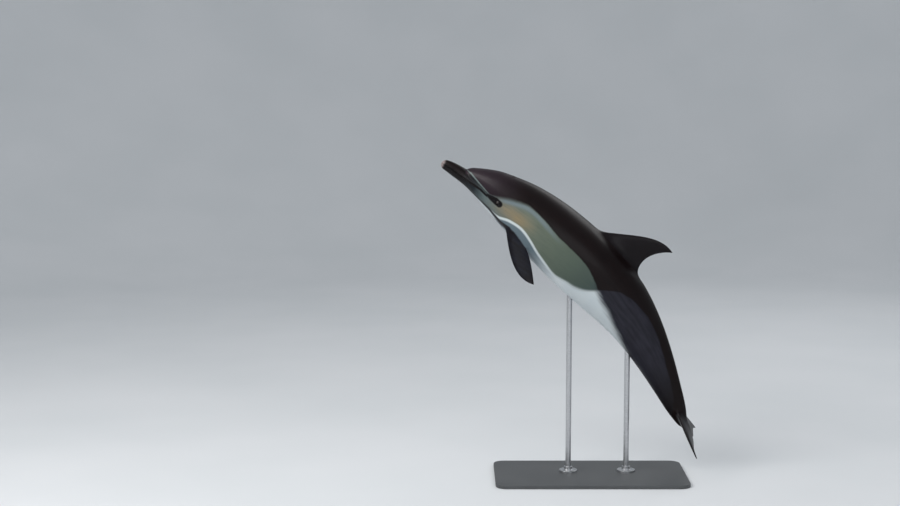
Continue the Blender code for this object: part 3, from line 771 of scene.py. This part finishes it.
# The skin's finish: wet and rubbery, dark above and pale below. The edges of its markings
# are soft and a little ragged, as pigment lies in skin, and each is laid over the last.
class Shade:
    """A socket of a material's tree. Sums on it, and on numbers, add the Math nodes."""

    def __init__(self, tree, socket=None):
        self.tree = tree
        self.socket = socket

    def node(self, kind, settings=(), sockets=(), output=0):
        made = self.tree.nodes.new("ShaderNode" + kind)
        for name, value in dict(settings).items():
            if name == "stops":
                ramp = made.color_ramp.elements
                while len(ramp) < len(value):
                    ramp.new(1.0)
                for stop, (position, tint) in zip(ramp, value):
                    stop.position, stop.color = position, tint
            else:
                setattr(made, name, value)
        for name, value in dict(sockets).items():
            if isinstance(value, Shade):
                self.tree.links.new(value.socket, made.inputs[name])
            else:
                made.inputs[name].default_value = value
        return Shade(self.tree, made.outputs[output])

    def math(self, operation, *values):
        return self.node("Math", {"operation": operation}, dict(enumerate(values)))

    def __add__(self, other):
        return self.math("ADD", self, other)

    def __radd__(self, other):
        return self.math("ADD", other, self)

    def __sub__(self, other):
        return self.math("SUBTRACT", self, other)

    def __rsub__(self, other):
        return self.math("SUBTRACT", other, self)

    def __mul__(self, other):
        return self.math("MULTIPLY", self, other)

    def __rmul__(self, other):
        return self.math("MULTIPLY", other, self)

    def __truediv__(self, other):
        return self.math("DIVIDE", self, other)

    def fade(self, low, high):
        """0 below low, 1 above high, and a soft step between."""
        return self.node("MapRange", {"interpolation_type": "SMOOTHSTEP"},
                         {"Value": self, "From Min": low, "From Max": high})

    def edge(self, softness):
        """A soft step about 0, as wide to each side as the softness says."""
        return (self / softness).fade(-1.0, 1.0)

    def near(self, middle, width):
        """1 where the value is at middle, falling softly to 0 a width away."""
        return 1 - self.math("ABSOLUTE", self - middle).fade(0.0, width)

    def mix(self, under, over):
        """The colour under, with the colour over laid on it as far as this mask says."""
        return self.node("Mix", {"data_type": "RGBA"}, {0: self, 6: under, 7: over}, 2)


def colour(red, green, blue):
    """A screen colour, 0 to 255, as the linear colour that a shader takes."""
    parts = [c / 255 for c in (red, green, blue)]
    return (*(c / 12.92 if c <= 0.04045 else ((c + 0.055) / 1.055) ** 2.4 for c in parts), 1.0)


def new_finish(name, even=()):
    """A material with its Principled shader, and its tree as a Shade to build from. What is
    the same all over is set on the shader itself."""
    material = bpy.data.materials.new(name)
    material.use_nodes = True
    shader = material.node_tree.nodes["Principled BSDF"]
    for socket, value in dict(even).items():
        shader.inputs[socket].default_value = value
    return material, shader, Shade(material.node_tree)


def feed(shade, shader, name):
    shade.tree.links.new(shade.socket, shader.inputs[name])


FLESH = ("upper_beak", "lower_jaw", "head", "chest", "trunk", "tail_base", "tail_stock",
         "fluke_left", "fluke_right", "dorsal_fin", "flipper_left", "flipper_right")
wet_skin, shader, tree = new_finish("wet_skin", {
    "Specular IOR Level": 0.12, "Coat Weight": 0.06, "Coat Roughness": 0.2})
place = tree.node("TexCoord", output=3)
field = {name: tree.node("Attribute", {"attribute_name": name}, output=2) for name in fields}
at = field["station"]  # how far along the body
along = tree.node("CombineXYZ", sockets={0: at * 6.0, 1: field["rise"] * 22.0})


def cloud(scale, detail=3.0, where=place):
    """Soft noise about 0, from -0.5 to 0.5."""
    return tree.node("TexNoise", sockets={"Vector": where, "Scale": scale, "Detail": detail}) - 0.5


broad, patchy, fine = cloud(3.0), cloud(14.0, 4.0), cloud(160.0, 2.0)
streaks = cloud(3.0, 5.0, along)
ragged = patchy * 0.010 + fine * 0.0022
soft_edge = ragged * 0.6

# The white belly, with a grey band by the flipper that is partly stripe and partly painted shade, and
# the tan patch above.
belly = (broad + patchy * 0.6).fade(-0.35, 0.45).mix(colour(182, 191, 196), colour(200, 206, 207))
below_patch = 0.0 - field["patch"]
# The band is partly a grey stripe of the species and partly painted shade on the underside.
stripe_and_painted_shade = below_patch.fade(0.006, 0.018) * (1 - (below_patch + streaks * 0.03).fade(0.050, 0.105))
stripe_and_painted_shade = stripe_and_painted_shade * at.fade(0.17, 0.21) * (1 - at.fade(0.31, 0.43))
belly = (stripe_and_painted_shade * 0.92).mix(belly, colour(74, 90, 99))
patch = tree.node("ValToRGB", {"stops": (
    (0.00, colour(72, 79, 81)), (0.13, colour(82, 91, 93)), (0.18, colour(92, 99, 97)),
    (0.26, colour(97, 103, 92)), (0.34, colour(86, 95, 84)), (0.42, colour(75, 86, 77)),
    (0.50, colour(60, 72, 69)))}, {"Fac": at + broad * 0.02})
ochre = at.near(0.228, 0.080) * (field["rise"] + streaks * 0.02).near(-0.020, 0.058)
patch = (ochre * (0.75 + patchy)).mix(patch, colour(137, 119, 89))
patch = (streaks + patchy * 0.5).fade(-0.1, 0.6).mix(patch, colour(70, 80, 73))

# The dark cape, its melon paler partly by painted sky light, the grey flank behind it, and the two
# jaws.
cape = (streaks * 0.7 + patchy * 0.5).fade(-0.4, 0.4).mix(colour(10, 4, 5), colour(18, 8, 8))
melon_tone_and_sky_light = (broad + patchy * 0.5).fade(-0.3, 0.4).mix(colour(33, 25, 31), colour(46, 37, 43))
cape = (1 - (at + patchy * 0.03).fade(0.115, 0.235)).mix(cape, melon_tone_and_sky_light)
flank = (streaks + patchy * 0.3).fade(-0.35, 0.35).mix(colour(26, 25, 32), colour(42, 42, 51))
flank = (at + streaks * 0.06).fade(0.74, 0.92).mix(flank, colour(16, 12, 14))
beak = tree.node("ValToRGB", {"stops": (
    (0.00, colour(17, 8, 9)), (0.058, colour(14, 7, 9)), (0.075, colour(19, 17, 20)),
    (0.095, colour(31, 33, 36)), (0.13, colour(52, 59, 60)))}, {"Fac": at + patchy * 0.006})
jaw = tree.node("ValToRGB", {"stops": (
    (0.00, colour(16, 10, 12)), (0.07, colour(17, 15, 18)), (0.103, colour(27, 32, 36)),
    (0.13, colour(68, 78, 80)))}, {"Fac": at + patchy * 0.006})

# From the belly up: the patch, the jaws' sides, the white line under the patch, which is the belly's
# edge brightened by a painted highlight, the flank, the upper jaw, and the cape with a painted bluish
# sky sheen on its margin.
patch_softness = at.fade(0.36, 0.48) * 0.011 + 0.007
skin_colour = (field["patch"] + soft_edge).edge(patch_softness).mix(belly, patch)
jaw_side = (1 - at.fade(0.120, 0.148)) * (field["patch"] + soft_edge).fade(-0.005, 0.007)
skin_colour = jaw_side.mix(skin_colour, jaw)
# The white line is the belly's pale edge with a painted highlight laid along it.
white_edge_and_highlight = field["patch"].near(-0.002, 0.0068) * at.fade(0.17, 0.20)
white_edge_and_highlight = white_edge_and_highlight * (1 - at.fade(0.24, 0.34) * 0.4) * (1 - at.fade(0.44, 0.52))
skin_colour = (white_edge_and_highlight * (0.9 + streaks)).mix(skin_colour, colour(188, 197, 195))
skin_colour = (field["flank"] + streaks * 0.03 + soft_edge).edge(0.024).mix(skin_colour, flank)
before_gape = 1 - at.fade(0.138, 0.150)
skin_colour = (field["mouth"].fade(-0.001, 0.001) * before_gape).mix(skin_colour, beak)
# A painted bluish sky sheen along the top of the patch, just under the cape.
painted_sky_sheen = (field["cape"] + ragged).near(-0.012, 0.022) * at.fade(0.165, 0.19)
painted_sky_sheen = painted_sky_sheen * (1 - at.fade(0.29, 0.38)) * field["patch"].fade(0.0, 0.02)
skin_colour = (painted_sky_sheen * 0.55).mix(skin_colour, colour(108, 123, 132))
cape_softness = at.near(0.19, 0.09) * 0.012 + 0.0045
skin_colour = (field["cape"] + ragged).edge(cape_softness).mix(skin_colour, cape)

# The streaks and spots: field, raggedness, where its edge starts and ends, and colour.
for name, rough, low, high, over in (("crease", 0.3, -0.0015, 0.0035, colour(98, 108, 107)),
                                     ("stripe", 0.5, -0.005, 0.005, colour(25, 23, 27)),
                                     ("lips", 0.25, -0.0025, 0.002, colour(12, 9, 11)),
                                     ("eye_patch", 0.3, -0.004, 0.0035, colour(9, 6, 8))):
    skin_colour = (field[name] + ragged * rough).fade(low, high).mix(skin_colour, over)

# The dark fins, slate and a painted bluish sheen on the flippers, the pale tip of the beak, and painted
# shade in the openings.
fin_colour = (broad + patchy * 0.7).fade(-0.4, 0.4).mix(colour(10, 6, 8), colour(18, 13, 17))
# The flippers' slate is partly their own tone and partly a painted bluish sky sheen.
slate_and_sky_sheen = (streaks + patchy * 0.7).fade(-0.3, 0.4).mix(colour(12, 8, 12), colour(23, 25, 35))
fin_colour = (1 - at.fade(0.33, 0.38)).mix(fin_colour, slate_and_sky_sheen)
skin_colour = (field["fin"] + ragged).fade(-0.007, 0.006).mix(skin_colour, fin_colour)
tip = 1 - (at + ragged * 0.25).fade(0.0025, 0.0105)
skin_colour = (tip * 0.85).mix(skin_colour, colour(150, 138, 138))
# Painted shade: near black in the seam of the lips and in the blowhole, slits and ear pit.
painted_opening_shade = colour(7, 6, 7)
mouth_seam_shade = field["mouth"].near(0.0, 0.0016) * before_gape
skin_colour = (mouth_seam_shade * 0.9).mix(skin_colour, painted_opening_shade)
skin_colour = field["opening"].near(0.0, 0.0024).mix(skin_colour, painted_opening_shade)

grain = tree.node("TexNoise", sockets={"Vector": place, "Scale": 900.0, "Detail": 2.0})
relief = tree.node("Bump", sockets={"Strength": 0.35, "Distance": 0.0006,
                                    "Height": grain * 0.2 + patchy * 0.6 + fine * 0.05})
feed(skin_colour, shader, "Base Color")
feed(0.40 + broad * 0.12 + patchy * 0.08, shader, "Roughness")
feed(relief, shader, "Normal")
skin.data.materials.clear()
skin.data.materials.append(wet_skin)
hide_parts(*FLESH)
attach(skin, "root")


# Eyes: dark polished balls with a wide brown iris, each set behind the lids. They are cast
# on their own and pressed into the sockets.
EYEBALL = 0.0132
IRIS = 0.0078
IRIS_RIM = 0.0012
PUPIL = (0.0036, 0.0025)
CORNEA = 0.0006
CORNEA_SPREAD = 1.1  # of the iris
eye_gloss, shader, tree = new_finish("eye_gloss", {
    "Roughness": 0.12, "Specular IOR Level": 0.25, "Coat Weight": 0.4, "Coat Roughness": 0.03})
across = tree.node("Attribute", {"attribute_name": "across"}, output=2)
rise = tree.node("Attribute", {"attribute_name": "rise"}, output=2)
away = tree.math("SQRT", across * across + rise * rise)
pupil = across * (1 / PUPIL[0])
pupil = pupil * pupil + rise * rise * (1 / PUPIL[1] ** 2)
place = tree.node("TexCoord", output=3)
rays = tree.node("TexNoise", sockets={"Vector": place, "Scale": 700.0, "Detail": 4.0})
iris = rays.fade(0.3, 0.7).mix(colour(20, 12, 9), colour(38, 26, 18))
eye_colour = away.fade(IRIS * 0.93, IRIS * 1.02).mix(iris, colour(34, 28, 27))
eye_colour = away.near(IRIS, IRIS_RIM).mix(eye_colour, colour(16, 11, 10))
eye_colour = (1 - pupil.fade(0.85, 1.1)).mix(eye_colour, colour(3, 3, 4))
feed(eye_colour, shader, "Base Color")


def settle_order(bm):
    """List the faces by their vertices, so that each run writes the same mesh."""
    bm.verts.index_update()
    ranked = sorted(bm.faces, key=lambda f: sorted(v.index for v in f.verts))
    for rank, face in enumerate(ranked):
        face.index = rank
    bm.faces.sort()


for side, name in ((-1, "left"), (1, "right")):
    bm = bmesh.new()
    bmesh.ops.create_uvsphere(bm, u_segments=64, v_segments=48, radius=EYEBALL)
    middle, *directions = EYES[side]
    turn = Matrix(directions).transposed()
    local = [v.co.copy() for v in bm.verts]
    for v in bm.verts:
        bulge = CORNEA * (v.co.z > 0) * step(CORNEA_SPREAD * IRIS, 0.0, math.hypot(v.co.x, v.co.y))
        v.co = LEAN @ (middle + turn @ (v.co * (1 + bulge / EYEBALL)))
    if turn.determinant() < 0:
        bmesh.ops.reverse_faces(bm, faces=bm.faces)
    for face in bm.faces:
        face.smooth = True
    settle_order(bm)
    ball_mesh = bpy.data.meshes.new("eyeball_" + name)
    bm.to_mesh(ball_mesh)
    bm.free()
    for field_name, values in (("across", [p.x for p in local]), ("rise", [p.y for p in local])):
        ball_mesh.attributes.new(field_name, "FLOAT", "POINT").data.foreach_set("value", values)
    ball_mesh.materials.append(eye_gloss)
    ball = bpy.data.objects.new("eyeball_" + name, ball_mesh)
    bpy.context.scene.collection.objects.link(ball)
    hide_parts("eye_" + name)
    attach(ball, "root")


# Stand: a heavy flat base with a fine satin paint, and two brushed steel rods that rise out
# of collared feet into the body. Their solids are right as they are and only need a finish.
stand_paint, shader, tree = new_finish("satin_charcoal")
place = tree.node("TexCoord", output=3)
speckle = tree.node("TexNoise", sockets={"Vector": place, "Scale": 420.0, "Detail": 3.0})
wipe = tree.node("TexNoise", sockets={"Vector": place, "Scale": 5.0, "Detail": 4.0})
relief = tree.node("Bump", sockets={"Strength": 0.25, "Distance": 0.0003, "Height": speckle})
feed(wipe.fade(0.25, 0.8).mix(colour(66, 68, 70), colour(76, 78, 80)), shader, "Base Color")
feed(0.38 + wipe * 0.12 + speckle * 0.08, shader, "Roughness")
feed(relief, shader, "Normal")
brushed_steel, shader, tree = new_finish("brushed_steel", {"Metallic": 1.0})
place = tree.node("TexCoord", output=3)
grain_way = tree.node("VectorMath", {"operation": "MULTIPLY"}, {0: place, 1: (60.0, 60.0, 1400.0)})
brushing = tree.node("TexNoise", sockets={"Vector": grain_way, "Scale": 1.0, "Detail": 3.0})
relief = tree.node("Bump", sockets={"Strength": 0.2, "Distance": 0.0002, "Height": brushing})
feed(brushing.fade(0.2, 0.8).mix(colour(172, 173, 176), colour(206, 207, 209)), shader, "Base Color")
feed(0.24 + brushing * 0.16, shader, "Roughness")
feed(relief, shader, "Normal")
for name, finish in (("stand_base", stand_paint), ("stand_foot_front", brushed_steel),
                     ("stand_foot_rear", brushed_steel), ("stand_rod_front", brushed_steel),
                     ("stand_rod_rear", brushed_steel)):
    bpy.data.objects[name].data.materials.clear()
    bpy.data.objects[name].data.materials.append(finish)


# Studio: a pale round floor that sweeps up into a wall all about, open at the top, three
# soft lamps and the light from above the wall. None of it belongs to the model.
FLOOR_RADIUS = 14.0
SWEEP_RADIUS = 6.0
SWEEP_STEPS = 24
FLOOR_SIDES = 96
WALL_TOP = 11.0
MIDDLE = (-0.1, 0.0, 1.1)
sweep = [math.pi / 2 * k / SWEEP_STEPS for k in range(SWEEP_STEPS + 1)]
profile = [(0.0, 0.0)]
profile += [(FLOOR_RADIUS - SWEEP_RADIUS * (1 - math.sin(a)), SWEEP_RADIUS * (1 - math.cos(a)))
            for a in sweep]
profile.append((FLOOR_RADIUS, WALL_TOP))
bm = bmesh.new()
verts = [bm.verts.new((radius, 0.0, height)) for radius, height in profile]
edges = [bm.edges.new(pair) for pair in zip(verts, verts[1:])]
bmesh.ops.spin(bm, geom=verts + edges, axis=(0, 0, 1), cent=(0, 0, 0), angle=math.tau,
               steps=FLOOR_SIDES)
bmesh.ops.remove_doubles(bm, verts=bm.verts, dist=1e-4)
for face in bm.faces:
    face.smooth = True
settle_order(bm)
floor_mesh = bpy.data.meshes.new("studio_floor")
bm.to_mesh(floor_mesh)
bm.free()
studio_paper, shader, tree = new_finish("studio_paper", {"Roughness": 0.75})
place = tree.node("TexCoord", output=3)
shade = tree.node("TexNoise", sockets={"Vector": place, "Scale": 0.8, "Detail": 2.0})
feed(shade.fade(0.2, 0.8).mix(colour(210, 213, 216), colour(216, 218, 221)), shader, "Base Color")
floor_mesh.materials.append(studio_paper)
floor = bpy.data.objects.new("studio_floor", floor_mesh)
bpy.context.scene.collection.objects.link(floor)


def lamp(name, place, size, power, tint=(1.0, 1.0, 1.0)):
    """A soft box aimed at the middle of the dolphin."""
    light = bpy.data.lights.new(name, "AREA")
    light.shape = "RECTANGLE"
    light.size, light.size_y = size
    light.energy = power
    light.color = tint
    made = bpy.data.objects.new(name, light)
    made.location = place
    made.rotation_euler = (Vector(MIDDLE) - Vector(place)).to_track_quat("-Z", "Y").to_euler()
    bpy.context.scene.collection.objects.link(made)


lamp("key", (-4.0, -3.6, 5.6), (4.5, 4.5), 430.0, (1.0, 0.985, 0.96))
lamp("fill", (1.8, -7.5, 2.6), (5.0, 3.5), 110.0, (0.95, 0.98, 1.0))
lamp("rim", (4.0, 4.5, 5.5), (5.0, 3.0), 105.0)
world = bpy.data.worlds.new("room_light")
world.use_nodes = True
sky = world.node_tree.nodes["Background"].inputs
sky["Color"].default_value = colour(232, 237, 241)
sky["Strength"].default_value = 0.60
bpy.context.scene.world = world
bpy.context.scene.view_settings.view_transform = "Standard"

# Camera: a long lens some way off the dolphin's left side, looking a little down.
camera = bpy.data.objects.new("camera", bpy.data.cameras.new("camera"))
camera.data.lens = 70.0
camera.data.sensor_width = 36.0
camera.location = (-0.763, -9.33, 2.373)
camera.rotation_euler = (math.radians(83.0), 0.0, 0.0)
bpy.context.scene.collection.objects.link(camera)
bpy.context.scene.camera = camera
